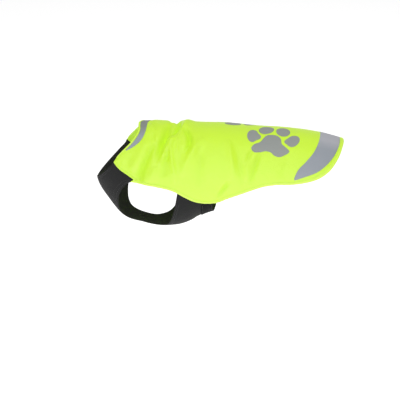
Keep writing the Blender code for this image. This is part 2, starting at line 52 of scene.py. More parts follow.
#     name,                 place, width and height, watts, whether the cloth mirrors it
LIGHTS = [
    ("key", (-0.3, -2.6, 0.7), (2.0, 3.2), 17.9, True),
    ("upper", (-0.25, -1.55, 2.35), (2.0, 1.5), 9.8, True),
    ("overhead", (0.4, 0.3, 2.6), (1.8, 1.8), 30.0, False),
]
FLOOR_Z = -0.53
FLOOR_REACH = 30.0

back = Vector((np.sin(CAMERA_TURN) * np.cos(CAMERA_UP),
               -np.cos(CAMERA_TURN) * np.cos(CAMERA_UP), np.sin(CAMERA_UP)))
right = Vector((np.cos(CAMERA_TURN), np.sin(CAMERA_TURN), 0.0))
up = back.cross(right)
camera_data = bpy.data.cameras.new("camera")
camera_data.sensor_width = SENSOR_WIDTH
camera_data.lens = SENSOR_WIDTH * PX_PER_METRE * CAMERA_AWAY / FRAME_PX
camera_data.shift_y = -(FRAME_PX / 2 - ORIGIN_PX) / FRAME_PX
camera = bpy.data.objects.new("camera", camera_data)
camera_turned = Matrix((right, up, back)).transposed().to_4x4()
camera.matrix_world = Matrix.Translation(back * CAMERA_AWAY) @ camera_turned
bpy.context.collection.objects.link(camera)
bpy.context.scene.camera = camera
bpy.context.scene.view_settings.view_transform = "Standard"

world = bpy.data.worlds.new("daylight")
world.use_nodes = True
world.node_tree.nodes["Background"].inputs["Color"].default_value = (1.0, 1.0, 1.0, 1.0)
world.node_tree.nodes["Background"].inputs["Strength"].default_value = DAYLIGHT
bpy.context.scene.world = world

for name, place, size, watts, mirrored in LIGHTS:
    light = bpy.data.lights.new(name, "AREA")
    light.shape = "RECTANGLE"
    light.size, light.size_y = size
    light.energy = watts
    box = bpy.data.objects.new(name, light)
    box.visible_glossy = mirrored
    box.location = place
    box.rotation_euler = (Vector(LIGHTS_AIM) - Vector(place)).to_track_quat("-Z", "Y").to_euler()
    bpy.context.collection.objects.link(box)


def new_finish(name, colour, settings):
    """A material with a Principled shader and the given values, and its node tree."""
    finish = bpy.data.materials.new(name)
    finish.use_nodes = True
    finish.diffuse_color = (*colour, 1.0)
    shader = finish.node_tree.nodes["Principled BSDF"]
    shader.inputs["Base Color"].default_value = (*colour, 1.0)
    for socket, value in settings.items():
        shader.inputs[socket].default_value = value
    return finish, finish.node_tree, shader


floor_corners = [(x * FLOOR_REACH, y * FLOOR_REACH, FLOOR_Z) for x, y in ((-1, -1), (1, -1), (1, 1), (-1, 1))]
floor_mesh = bpy.data.meshes.new("floor")
floor_mesh.from_pydata(floor_corners, [], [(0, 1, 2, 3)])
floor = bpy.data.objects.new("floor", floor_mesh)
bpy.context.collection.objects.link(floor)
white_paper, _, _ = new_finish("white_paper", (0.92, 0.92, 0.92), {
    "Roughness": 0.9, "Emission Color": (1.0, 1.0, 1.0, 1.0), "Emission Strength": 0.55})
floor_mesh.materials.append(white_paper)

# ================================================================ back panel
# One piece of fluorescent yellow woven polyester over the back and both flanks, with a soft satin
# face. It is cut flat and worn over the back, with pulled creases behind the shoulders.

# Pattern coordinates in metres: s runs along the spine from the neck edge, and g is the distance
# round from the spine, negative on the left side.
CLOTH_OUT = 0.0012                      # outer face over the worn form
CLOTH_IN = 0.0006
CLOTH_SPACING = 0.0030
FIRST_ROW = 0.001
LAST_ROW = 0.556
ROW_SPACING = 0.866                     # of the points' spacing, which gives even triangles
POINTS_A_SIDE = 160                     # in a row of points, enough to pass any outline
LOOSE_FROM_EDGE = 0.55                  # how far points stay apart, in spacings
SEWN_FROM_EDGE = 0.3
LOOSE_FROM_SEWN = 0.5

# The worn form, one row a ring from the neck to the rear hem.
#   spine x, spine z,  keel x,  keel z, half width, widest, square
RINGS = np.array([
    (-0.167, -0.002, -0.286, -0.160, 0.078, 0.46, 0.00),
    (-0.134, -0.001, -0.260, -0.214, 0.090, 0.47, 0.01),
    (-0.115, 0.000, -0.226, -0.258, 0.099, 0.48, 0.02),
    (-0.070, 0.000, -0.152, -0.289, 0.108, 0.48, 0.03),
    (-0.010, 0.000, -0.060, -0.289, 0.112, 0.47, 0.04),
    (0.060, 0.001, 0.035, -0.243, 0.112, 0.48, 0.04),
    (0.140, -0.003, 0.135, -0.217, 0.109, 0.50, 0.04),
    (0.230, -0.004, 0.230, -0.204, 0.106, 0.52, 0.04),
    (0.310, -0.011, 0.310, -0.197, 0.103, 0.52, 0.03),
    (0.360, -0.021, 0.358, -0.197, 0.099, 0.52, 0.02),
    (0.400, -0.034, 0.396, -0.197, 0.094, 0.52, 0.02),
])
FORM_STEPS = 241                        # along the spine and round each ring
KEEL_TOLERANCE = 2e-5
SLOPE_STEP = 0.001                      # reach of the slopes that give the outward direction

# The left half's outline, as (s, |g|); the right half mirrors it.
NECK_EDGE = [(0.000, 0.000), (0.004, 0.018), (0.012, 0.040), (0.015, 0.062), (0.014, 0.084),
             (0.011, 0.100), (0.0075, 0.118), (0.0070, 0.136), (0.009, 0.150)]
FRONT_SEAM = [(0.009, 0.150), (0.0195, 0.1612), (0.030, 0.1705), (0.0413, 0.1782), (0.0542, 0.1890)]
LOWER_EDGE = [(0.055, 0.198), (0.084, 0.2025), (0.111, 0.207), (0.138, 0.2145), (0.166, 0.231),
              (0.195, 0.248), (0.222, 0.254), (0.244, 0.250), (0.262, 0.236), (0.289, 0.218),
              (0.318, 0.201), (0.348, 0.187), (0.378, 0.179), (0.425, 0.172), (0.456, 0.163),
              (0.488, 0.147), (0.519, 0.118), (0.5425, 0.073), (0.5515, 0.030), (0.554, 0.000)]
EDGE_STEP = 0.002                       # spacing of the edge lines that distances are taken from

# Creases: half width, height (a trough is negative), and the line it follows in (s, g).
CREASES = [
    # the deep pull behind the shoulders, over the spine and down the left shoulder
    (0.0085, -0.0088, [(0.101, 0.036), (0.106, 0.012), (0.112, -0.010), (0.111, -0.034),
                       (0.105, -0.058), (0.103, -0.074)]),
    (0.0115, -0.0114, [(0.087, -0.004), (0.087, -0.034), (0.088, -0.062), (0.085, -0.088),
                       (0.088, -0.112), (0.093, -0.136)]),
    (0.0165, 0.0064, [(0.136, 0.060), (0.131, 0.026), (0.127, -0.008), (0.119, -0.036)]),
    (0.0046, -0.0034, [(0.112, 0.030), (0.116, 0.004), (0.1165, -0.016), (0.1125, -0.036), (0.106, -0.054)]),
    (0.0050, -0.0032, [(0.026, 0.012), (0.036, -0.002), (0.046, -0.018), (0.054, -0.042)]),
    (0.0160, 0.0030, [(0.040, -0.070), (0.044, -0.030), (0.044, 0.020), (0.040, 0.066)]),
    (0.0090, 0.0040, [(0.107, -0.050), (0.109, -0.068), (0.112, -0.088)]),
    (0.0095, 0.0042, [(0.092, -0.071), (0.100, -0.069), (0.110, -0.070), (0.120, -0.075)]),
    # two lit ridges fork from under the pull, with a trough between them and one on each side
    (0.0060, 0.0046, [(0.103, -0.070), (0.100, -0.086), (0.097, -0.104), (0.096, -0.128), (0.100, -0.154)]),
    (0.0062, 0.0054, [(0.101, -0.046), (0.105, -0.076), (0.112, -0.102), (0.121, -0.126),
                      (0.131, -0.152), (0.138, -0.174), (0.141, -0.198)]),
    (0.0055, -0.0046, [(0.104, -0.092), (0.107, -0.110), (0.111, -0.132)]),
    (0.0110, -0.0036, [(0.106, -0.112), (0.108, -0.142), (0.112, -0.178)]),
    (0.0080, -0.0082, [(0.122, -0.016), (0.139, -0.042), (0.151, -0.066), (0.154, -0.088), (0.148, -0.112)]),
    (0.0042, 0.0028, [(0.119, -0.038), (0.122, -0.068), (0.126, -0.096), (0.131, -0.120)]),
    (0.0140, 0.0050, [(0.190, -0.064), (0.172, -0.092), (0.162, -0.118), (0.154, -0.148), (0.149, -0.176)]),
    # the long soft folds that run down from the left shoulder to the lower edge
    (0.0095, -0.0098, [(0.062, -0.080), (0.0640, -0.100), (0.0635, -0.122), (0.0622, -0.146),
                       (0.0630, -0.166), (0.0650, -0.184), (0.0650, -0.204)]),
    (0.0045, -0.0026, [(0.048, -0.044), (0.058, -0.064), (0.066, -0.086), (0.070, -0.104)]),
    (0.0140, 0.0034, [(0.040, -0.062), (0.049, -0.100), (0.052, -0.138), (0.048, -0.168)]),
    (0.0110, 0.0032, [(0.086, -0.146), (0.088, -0.170), (0.088, -0.196)]),
    (0.0065, -0.0026, [(0.029, -0.116), (0.034, -0.136), (0.038, -0.156), (0.043, -0.172)]),
    # the taut middle and the soft drops behind it
    (0.0085, -0.0024, [(0.267, -0.066), (0.276, -0.095), (0.284, -0.118), (0.291, -0.142),
                       (0.296, -0.166), (0.300, -0.188)]),
    (0.0100, 0.0040, [(0.250, -0.062), (0.262, -0.100), (0.272, -0.140), (0.278, -0.172)]),
    (0.0055, -0.0036, [(0.322, -0.082), (0.314, -0.098), (0.306, -0.120), (0.303, -0.136)]),
    (0.0070, -0.0048, [(0.343, -0.088), (0.336, -0.104), (0.329, -0.126), (0.322, -0.150), (0.319, -0.184)]),
    (0.0090, 0.0030, [(0.302, -0.110), (0.308, -0.146), (0.306, -0.176)]),
    (0.0050, -0.0054, [(0.268, -0.178), (0.262, -0.190), (0.254, -0.206), (0.242, -0.234)]),
    (0.0110, -0.0018, [(0.412, -0.108), (0.402, -0.132), (0.396, -0.160)]),
    (0.0110, -0.0020, [(0.184, -0.088), (0.192, -0.138), (0.201, -0.200)]),
    # like creases on the right side
    (0.0075, -0.0078, [(0.104, 0.012), (0.101, 0.036), (0.098, 0.066), (0.090, 0.090)]),
    (0.0085, -0.0068, [(0.092, 0.004), (0.089, 0.034), (0.086, 0.072), (0.083, 0.112)]),
    (0.0100, 0.0040, [(0.127, 0.044), (0.122, 0.064), (0.113, 0.088)]),
    (0.0060, 0.0036, [(0.098, 0.082), (0.094, 0.108), (0.090, 0.140)]),
    (0.0066, 0.0044, [(0.110, 0.080), (0.119, 0.118), (0.128, 0.156), (0.132, 0.190)]),
    (0.0062, -0.0046, [(0.104, 0.100), (0.108, 0.126), (0.108, 0.154), (0.112, 0.182)]),
    (0.0072, -0.0052, [(0.142, 0.036), (0.149, 0.064), (0.147, 0.094), (0.139, 0.118)]),
    (0.0140, 0.0044, [(0.180, 0.072), (0.164, 0.098), (0.153, 0.130), (0.146, 0.170)]),
    (0.0078, -0.0070, [(0.060, 0.070), (0.066, 0.104), (0.071, 0.136), (0.069, 0.166), (0.064, 0.197)]),
    (0.0120, 0.0034, [(0.042, 0.078), (0.051, 0.116), (0.052, 0.152)]),
    (0.0075, -0.0044, [(0.248, 0.056), (0.258, 0.094), (0.268, 0.136), (0.276, 0.190)]),
    (0.0110, 0.0034, [(0.232, 0.070), (0.242, 0.112), (0.252, 0.158)]),
    (0.0072, -0.0044, [(0.336, 0.108), (0.327, 0.126), (0.316, 0.152), (0.311, 0.184)]),
    (0.0062, -0.0036, [(0.256, 0.192), (0.245, 0.214), (0.239, 0.240)]),
    (0.0100, -0.0020, [(0.404, 0.092), (0.400, 0.124), (0.394, 0.158)]),
]
CREASE_STEP = 0.004
CREASE_ROUNDING = 0.25                  # of the half width, at the bottom of a trough
CREASE_POWER = 1.5                      # of the fall from its middle: 1 is a sharp fold, 2 a soft one
CREASE_SHOULDER = 0.30                  # how far cloth rises beside a trough, as a share of its depth
SHOULDER_REACH = 2.3                    # in half widths
FULL_PAINTED_SHADE_DEPTH = 0.0064                    # a trough this deep gets the full painted shade: the darkest, most saturated yellow
CLOTH_ROUGHNESS = 0.34
HOLLOW_ROUGHNESS = 0.30                 # added where the cloth lies full in a hollow

# Crumples a metre along the spine and round from it, layer of the noise, and share of the height.
CRUMPLE_WAVES = [(34, 17, 0.3, 1.0), (75, 40, 4.1, 0.5)]
CRUMPLE = 0.00035
SHOULDER_CRUMPLE = 0.0009               # more of it, over the shoulders
SHOULDER_S = 0.095
SHOULDER_LENGTH = 0.065
HEM_PUCKER = 0.00038
HEM_PUCKER_PITCH = 0.0125
HEM_PUCKER_REACH = 0.009

# What the front seam does to the cloth: height, distance from the seam, and reach.
SEAM_STITCH_INSET = 0.0042
TURNED_EDGE = (0.0014, 0.0006, 0.0022)
STITCH_GROOVE = (-0.0014, SEAM_STITCH_INSET, 0.0014)
SEAM_PUCKER = (0.0004, 0.0068, 0.0035)
SEAM_PUCKER_PITCH = 0.0058
SEAM_ROWS = np.arange(0.0012, 0.0105, 0.0012)
SEAM_ROW_STEP = 0.0015

NECK_CURL = 0.0028                      # how far the neck edge turns in at the bottom of its sides
NECK_CURL_REACH = 0.0055
NECK_CURL_STARTS = 0.095                # round from the spine
NECK_CURL_GROWS = 0.02                  # it is full this much farther round
SEAM_HOLDS = 0.003                      # the front seam keeps the curl flat up to here
SEAM_LETS_GO = 0.009                    # and lets it go over this much more


def smooth_rows(rows, run, at):
    """The rows' values at places along their run, on a smooth cubic through the rows."""
    slopes = np.gradient(rows, run, axis=0, edge_order=2)
    i = np.clip(np.searchsorted(run, at, side="right") - 1, 0, len(run) - 2)
    h = (run[i + 1] - run[i])[..., None]
    t = (at - run[i])[..., None] / h
    start = (2 * t**3 - 3 * t**2 + 1) * rows[i] + (t**3 - 2 * t**2 + t) * h * slopes[i]
    end = (3 * t**2 - 2 * t**3) * rows[i + 1] + (t**3 - t**2) * h * slopes[i + 1]
    return start + end


def run_along(points):
    """The distance along a line of points from its first point to each of them."""
    return np.concatenate([[0.0], np.cumsum(np.linalg.norm(np.diff(points, axis=0), axis=1))])


def smooth_line(points, step):
    """A smooth line through the points, with a point about every step."""
    p = np.array(points, float)
    run = run_along(p)
    at = np.linspace(0, run[-1], max(2, int(round(run[-1] / step))) + 1)
    if len(p) == 2:
        return p[0] + (p[1] - p[0]) * (at / run[-1])[:, None]
    return smooth_rows(p, run, at)


def left_line(table, step):
    """The left half's smooth line through a table of (s, |g|)."""
    return smooth_line(np.array(table) * (1, -1), step)


def both_sides(left):
    """A left line and then its mirror image."""
    return np.concatenate([left, left * (1, -1)])


def over_the_spine(half):
    """A line that ends on the spine, carried on over it to the other side."""
    return np.concatenate([half, (half * (1, -1))[-2::-1]])


def closed_over_the_spine(half):
    """A closed outline from a half that starts and ends on the spine."""
    return np.concatenate([half, (half * (1, -1))[-2:0:-1]])


def inset_line(line, width):
    """A half edge moved inward by a width; the edge runs from the neck round to the rear."""
    way = np.gradient(line, axis=0)
    inward = np.stack([-way[:, 1], way[:, 0]], axis=1)
    inward[line[:, 1] == 0, 1] = 0
    return line + inward / np.linalg.norm(inward, axis=1)[:, None] * width


spine_s = run_along(RINGS[:, :2])
s_steps = np.linspace(0.0, spine_s[-1], FORM_STEPS)
angles = np.linspace(0.0, np.pi, FORM_STEPS)


def ring_point(s, angle):
    """A point of the worn form's ring at s; angle is 0 on the spine and pi on the keel."""
    sizes = np.moveaxis(smooth_rows(RINGS, spine_s, s), -1, 0)
    spine_x, spine_z, keel_x, keel_z, half, widest, square = sizes
    down = (1 - np.cos(angle)) / 2 - (0.5 - widest) * np.sin(angle)**2
    y = half * (np.sin(angle) + square * np.sin(3 * angle)) / (1 - square)
    return np.stack([spine_x + (keel_x - spine_x) * down, y, spine_z + (keel_z - spine_z) * down], -1)


grid = ring_point(np.repeat(s_steps[:, None], FORM_STEPS, 1), np.repeat(angles[None], FORM_STEPS, 0))
steps_round = np.linalg.norm(np.diff(grid, axis=1), axis=-1)
round_to = np.concatenate([np.zeros((FORM_STEPS, 1)), np.cumsum(steps_round, axis=1)], axis=1)


def half_girth(s):
    """Distance round from the spine to the keel at s."""
    return np.interp(s, s_steps, round_to[:, -1])


def form_point(s, g):
    """The smooth worn form's point for pattern coordinates."""
    place = np.clip(s / s_steps[1], 0, FORM_STEPS - 1.000001)
    row = place.astype(int)
    part = (place - row)[:, None]
    rounds = round_to[row] * (1 - part) + round_to[row + 1] * part
    angle = np.array([np.interp(abs(a), r, angles) for a, r in zip(g, rounds)])
    points = ring_point(s, angle)
    points[:, 1] *= np.where(g < 0, -1, 1)
    return points


def tree_of(points):
    """A search tree over pattern points."""
    tree = KDTree(len(points))
    for i, (s, g) in enumerate(points):
        tree.insert((s, g, 0), i)
    tree.balance()
    return tree


def nearest(tree, s, g):
    """For each pattern point, the number of the tree's nearest point, and the distance to it."""
    found = [tree.find((a, b, 0)) for a, b in zip(s, g)]
    return np.array([hit[1] for hit in found]), np.array([hit[2] for hit in found])


lower_tree = tree_of(over_the_spine(left_line(LOWER_EDGE, EDGE_STEP)))
seam_tree = tree_of(both_sides(left_line(FRONT_SEAM, EDGE_STEP)))
neck_tree = tree_of(both_sides(left_line(NECK_EDGE, EDGE_STEP)))


def crease_height(s, g):
    """How far the creases lift the cloth off the smooth form."""
    height = np.zeros_like(s)
    for width, rise, line in CREASES:
        way = smooth_line(line, CREASE_STEP)
        off = np.hypot(s[:, None] - way[:, 0], g[:, None] - way[:, 1])
        along = np.abs(2 * off.argmin(axis=1) / (len(way) - 1) - 1)
        off = off.min(axis=1) / width
        fall = np.hypot(off, CREASE_ROUNDING)**CREASE_POWER - CREASE_ROUNDING**CREASE_POWER
        shoulder = CREASE_SHOULDER * np.exp(-(off / SHOULDER_REACH)**2)
        height += rise * (np.exp(-fall) - shoulder) / (1 - CREASE_SHOULDER) * (1 - along**3)
    return height


def crumple_height(s, g):
    """Small uneven waves of cloth that isn't pulled tight, larger over the shoulders."""
    height = np.zeros_like(s)
    for along, around, layer, share in CRUMPLE_WAVES:
        wave = [noise.noise(Vector((a * along, b * around, layer))) for a, b in zip(s, g)]
        height += share * np.array(wave)
    return height * (CRUMPLE + SHOULDER_CRUMPLE * np.exp(-((s - SHOULDER_S) / SHOULDER_LENGTH)**2))


def pucker_height(s, g):
    """The tiny gathers that the stitching draws along the bound edge, uneven in length and height."""
    number, off = nearest(lower_tree, s, g)
    run = number * EDGE_STEP
    wave = np.sin(2 * np.pi * run / HEM_PUCKER_PITCH + 1.7 * np.sin(run * 61) + 1.1 * np.sin(run * 23))
    uneven = 0.6 + 0.4 * np.sin(run * 37)
    return HEM_PUCKER * wave * uneven * np.exp(-(off / HEM_PUCKER_REACH)**2)


def ridge(off, height, middle, reach):
    """A soft ridge or groove that runs beside a line, by the distance from that line."""
    return height * np.exp(-((off - middle) / reach)**2)


def turned_edge_height(s, g):
    """The front seam's turned edge and puckered stitch groove, and the curl of the neck edge."""
    number, off = nearest(seam_tree, s, g)
    run = number * EDGE_STEP
    wave = np.sin(2 * np.pi * run / SEAM_PUCKER_PITCH + 1.3 * np.sin(run * 97))
    seam = ridge(off, *TURNED_EDGE) + (1 + 0.5 * wave) * ridge(off, *STITCH_GROOVE)
    seam += wave * ridge(off, *SEAM_PUCKER)
    curl = ridge(nearest(neck_tree, s, g)[1], -NECK_CURL, 0.0, NECK_CURL_REACH)
    curl *= np.clip((np.abs(g) - NECK_CURL_STARTS) / NECK_CURL_GROWS, 0, 1)
    return seam + curl * np.clip((off - SEAM_HOLDS) / SEAM_LETS_GO, 0, 1)


def worn_surface(s, g, creased=True):
    """Points on the cloth's inner face and the outward direction there."""
    limit = half_girth(s)
    before, after = [np.clip(s + step, 0, spine_s[-1]) for step in (-SLOPE_STEP, SLOPE_STEP)]
    left, right = [np.clip(g + step, -limit, limit) for step in (-SLOPE_STEP, SLOPE_STEP)]
    out = np.cross(form_point(after, g) - form_point(before, g), form_point(s, right) - form_point(s, left))
    out[np.abs(g) > limit - KEEL_TOLERANCE, 1] = 0
    out /= np.linalg.norm(out, axis=1)[:, None]
    points = form_point(s, g)
    if creased:
        lift = crease_height(s, g) + crumple_height(s, g) + pucker_height(s, g) + turned_edge_height(s, g)
        points += out * lift[:, None]
    return points, out


def inside(points, outline):
    """Which pattern points lie inside a closed outline."""
    x, y = points[:, 0], points[:, 1]
    found = np.zeros(len(points), bool)
    for (x0, y0), (x1, y1) in zip(outline, np.roll(outline, -1, axis=0)):
        if y0 != y1:
            found ^= ((y0 > y) != (y1 > y)) & (x < x0 + (y - y0) / (y1 - y0) * (x1 - x0))
    return found


def cloth_net(outline, spacing, rows, sewn=None):
    """Triangles that fill an outline in the pattern plane, with loose points on the given rows of s.

    Closer points can be given where sewing dents the cloth; the loose ones keep clear of them.
    """
    points = []
    for number, s in enumerate(rows):
        g = (np.arange(-POINTS_A_SIDE, POINTS_A_SIDE + 1) + 0.5 * (number % 2)) * spacing
        points.append(np.stack([np.full_like(g, s), g], axis=1))
    points = np.concatenate(points)
    points = points[inside(points, outline)]
    edge_tree = tree_of(outline)
    points = points[nearest(edge_tree, *points.T)[1] > LOOSE_FROM_EDGE * spacing]
    if sewn is not None:
        sewn = sewn[inside(sewn, outline)]
        sewn = sewn[nearest(edge_tree, *sewn.T)[1] > SEWN_FROM_EDGE * spacing]
        clear = nearest(tree_of(sewn), *points.T)[1] > LOOSE_FROM_SEWN * spacing
        points = np.concatenate([sewn, points[clear]])
    points = np.concatenate([outline, points])
    edges = [(i, (i + 1) % len(outline)) for i in range(len(outline))]
    verts, _, faces, *_ = delaunay_2d_cdt([Vector(p) for p in points], edges, [], 0, 1e-6, False)
    net = np.array([tuple(v) for v in verts])
    faces = np.array(faces)
    return net, faces[inside(net[faces].mean(axis=1), outline)]


def add_map(mesh, name, places):
    """A map that gives each corner of the mesh its point's two values."""
    corner = np.empty(len(mesh.loops), int)
    mesh.loops.foreach_get("vertex_index", corner)
    layer = mesh.uv_layers.new(name=name)
    layer.data.foreach_set("uv", np.asarray(places, np.float32)[corner].ravel())


def link(name, points, faces, finish, lay=None):
    """A smooth mesh object of the vest, riding on its one body; lay is its map in metres of cloth."""
    mesh = bpy.data.meshes.new(name)
    mesh.from_pydata([tuple(p) for p in points], [], [tuple(int(i) for i in f) for f in faces])
    mesh.materials.append(finish)
    mesh.shade_smooth()
    if lay is not None:
        add_map(mesh, "cloth", lay)
    piece = bpy.data.objects.new(name, mesh)
    bpy.context.collection.objects.link(piece)
    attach(piece, "root")
    return piece


def two_faced(name, lay, faces, points, out, low, high, finish):
    """Thin cloth with both its faces and a closed rim, between two heights over the inner face."""
    count = len(points)
    top = points + out * np.broadcast_to(high, count)[:, None]
    bottom = points + out * np.broadcast_to(low, count)[:, None]
    facing = np.cross(top[faces[:, 1]] - top[faces[:, 0]], top[faces[:, 2]] - top[faces[:, 0]])
    flipped = (facing * out[faces[:, 0]]).sum(axis=1) < 0
    faces = np.where(flipped[:, None], faces[:, ::-1], faces)
    sides = np.concatenate([faces[:, [0, 1]], faces[:, [1, 2]], faces[:, [2, 0]]])
    code = sides[:, 0] * count + sides[:, 1]
    rim = sides[~np.isin(code, sides[:, 1] * count + sides[:, 0])]
    solid = list(faces) + list(faces[:, ::-1] + count)
    solid += [(b, a, a + count, b + count) for a, b in rim]
    return link(name, np.concatenate([top, bottom]), solid, finish, np.concatenate([lay, lay]))


def add_node(tree, kind, **settings):
    """A node with its properties and unlinked inputs set by name; a leading in_ means an input."""
    node = tree.nodes.new(kind)
    for key, value in settings.items():
        if key.startswith("in_"):
            node.inputs[key[3:].replace("_", " ")].default_value = value
        else:
            setattr(node, key, value)
    return node


def maths(tree, operation, first, second=None):
    """One Math node on sockets or numbers; returns its output."""
    node = tree.nodes.new("ShaderNodeMath")
    node.operation = operation
    for socket, value in zip(node.inputs, (first, second)):
        if isinstance(value, bpy.types.NodeSocket):
            tree.links.new(value, socket)
        elif value is not None:
            socket.default_value = value
    return node.outputs[0]


def map_values(tree, name):
    """A map's output, and its two values apart."""
    uv = add_node(tree, "ShaderNodeUVMap", uv_map=name)
    split = tree.nodes.new("ShaderNodeSeparateXYZ")
    tree.links.new(uv.outputs["UV"], split.inputs[0])
    return uv.outputs["UV"], split.outputs["X"], split.outputs["Y"]


def noise_at(tree, uv, **settings):
    """A noise texture on the cloth, as one value."""
    texture = add_node(tree, "ShaderNodeTexNoise", **settings)
    tree.links.new(uv, texture.inputs["Vector"])
    return texture.outputs["Fac"]


def waves(tree, value, spacing):
    """A sine along a coordinate in metres, with a crest or a hollow at every spacing."""
    return maths(tree, "SINE", maths(tree, "MULTIPLY", value, np.pi / spacing))


def plain_weave(tree, x, y, thread):
    """Height of a plain weave: threads of that width pass over and under each other."""
    return maths(tree, "MULTIPLY", waves(tree, x, thread), waves(tree, y, thread))


def add_bump(tree, shader, height, distance):
    """A bump of that height in metres on top of any that the shader already has."""
    bump = add_node(tree, "ShaderNodeBump", in_Strength=1.0, in_Distance=distance)
    tree.links.new(height, bump.inputs["Height"])
    if shader.inputs["Normal"].is_linked:
        tree.links.new(shader.inputs["Normal"].links[0].from_socket, bump.inputs["Normal"])
    tree.links.new(bump.outputs["Normal"], shader.inputs["Normal"])


def tinted(tree, shader, value, low, high):
    """The base colour runs from low to high as a value goes from 0 to 1."""
    mix = add_node(tree, "ShaderNodeMix", data_type="RGBA")
    # Sockets 6 and 7 are the node's two colours, and output 2 is their mix.
    factor, first, second = mix.inputs[0], mix.inputs[6], mix.inputs[7]
    first.default_value = (*low, 1.0)
    second.default_value = (*high, 1.0)
    tree.links.new(value, factor)
    tree.links.new(mix.outputs[2], shader.inputs["Base Color"])


def yellow_cloth():
    """Fluorescent woven polyester: fine weave, faint crumple, and a satin face, rougher in the hollows, with
    painted shade in them and a painted glow.
    """
    # The emission is a painted glow that lifts the cloth's shaded sides under any light.
    finish, tree, shader = new_finish("fluorescent_yellow_cloth", (0.53, 0.83, 0.008), {
        "Roughness": CLOTH_ROUGHNESS, "Specular IOR Level": 1.0, "IOR": 1.59, "Sheen Weight": 0.1,
        "Sheen Roughness": 0.4, "Emission Color": (0.54, 0.82, 0.0, 1.0), "Emission Strength": 0.20})
    uv, x, y = map_values(tree, "cloth")
    _, hollow, _ = map_values(tree, "fold")
    # Painted shade: the deeper the cloth is sunk, the darker and more saturated its base colour, with random
    # patches mixed in.
    depth = maths(tree, "MULTIPLY", hollow, 1 / FULL_PAINTED_SHADE_DEPTH)
    patches = noise_at(tree, uv, in_Scale=38.0, in_Detail=3.0)
    painted_shade_and_mottle = maths(tree, "ADD", depth, maths(tree, "MULTIPLY", patches, 0.25))
    tinted(tree, shader, painted_shade_and_mottle, (0.545, 0.835, 0.009), (0.480, 0.775, 0.000))
    roughness = maths(tree, "ADD", maths(tree, "MULTIPLY", depth, HOLLOW_ROUGHNESS), CLOTH_ROUGHNESS)
    tree.links.new(roughness, shader.inputs["Roughness"])
    add_bump(tree, shader, noise_at(tree, uv, in_Scale=120.0, in_Detail=4.0, in_Roughness=0.6), 0.0009)
    add_bump(tree, shader, plain_weave(tree, x, y, thread=0.00045), 0.00006)
    return finish


front_corner = [FRONT_SEAM[-1], LOWER_EDGE[0]]
half_outline = [left_line(table, CLOTH_SPACING)[:-1] for table in (NECK_EDGE, FRONT_SEAM, front_corner)]
half_outline.append(left_line(LOWER_EDGE, CLOTH_SPACING))
shell_outline = closed_over_the_spine(np.concatenate(half_outline))
shell_rows = np.arange(FIRST_ROW, LAST_ROW, ROW_SPACING * CLOTH_SPACING)
beside_seam = [inset_line(left_line(FRONT_SEAM, SEAM_ROW_STEP), inset) for inset in SEAM_ROWS]
beside_seams = both_sides(np.concatenate(beside_seam))
shell_net, shell_faces = cloth_net(shell_outline, CLOTH_SPACING, shell_rows, beside_seams)
shell_points, shell_out = worn_surface(*shell_net.T)
back_panel = two_faced("back_panel", shell_net, shell_faces, shell_points, shell_out,
                       CLOTH_IN, CLOTH_OUT, yellow_cloth())
# How far the cloth is sunk in creases, in the front seam's stitch groove and in the neck edge's curl; the
# cloth's material paints shade by it and roughens it.
sunk = np.maximum(0, -crease_height(*shell_net.T) - turned_edge_height(*shell_net.T))
painted_shade_and_roughness_map = np.stack([sunk, np.zeros_like(sunk)], axis=1)
add_map(back_panel.data, "fold", np.concatenate([painted_shade_and_roughness_map, painted_shade_and_roughness_map]))
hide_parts("back_shell")

# ================================================================ bound edges
# Folded yellow tape wraps the flanks' lower edges and the rear hem, and a narrower one the neck
# edge. Each is sewn through with one row of stitches close to its inner edge.
HEM_TAPE_WIDTH = 0.0070
HEM_TAPE_TIP = 0.0030                   # how far the folded end stands past the front corner
HEM_STITCH_INSET = 0.0014               # from the tape's inner edge
NECK_TAPE_WIDTH = 0.0040
NECK_TAPE_END = 0.136
NECK_STITCH_INSET = 0.0010
TAPE_THICK = 0.0006
TAPE_LIFT = 0.0001
TAPE_NOSE = 0.0010                      # how far the fold stands past the cloth's edge
TAPE_ROUND = 2.2                        # the way round the folded tape, in widths
TAPE_STEP = 0.0012
TAPE_DRAW = 0.00028                     # how far the tape dips at a stitch
STITCH_PITCH = 0.0032
STITCH_LENGTH = 0.0026
THREAD_RADIUS = 0.00024
STITCH_SIDES = 6
# Places along a stitch: height of the thread's middle and its thickness, in thread radii.
STITCH_FORM = [(-0.9, 0.45), (0.35, 0.95), (0.75, 1.0), (0.35, 0.95), (-0.9, 0.45)]

tape_out = CLOTH_OUT + TAPE_LIFT
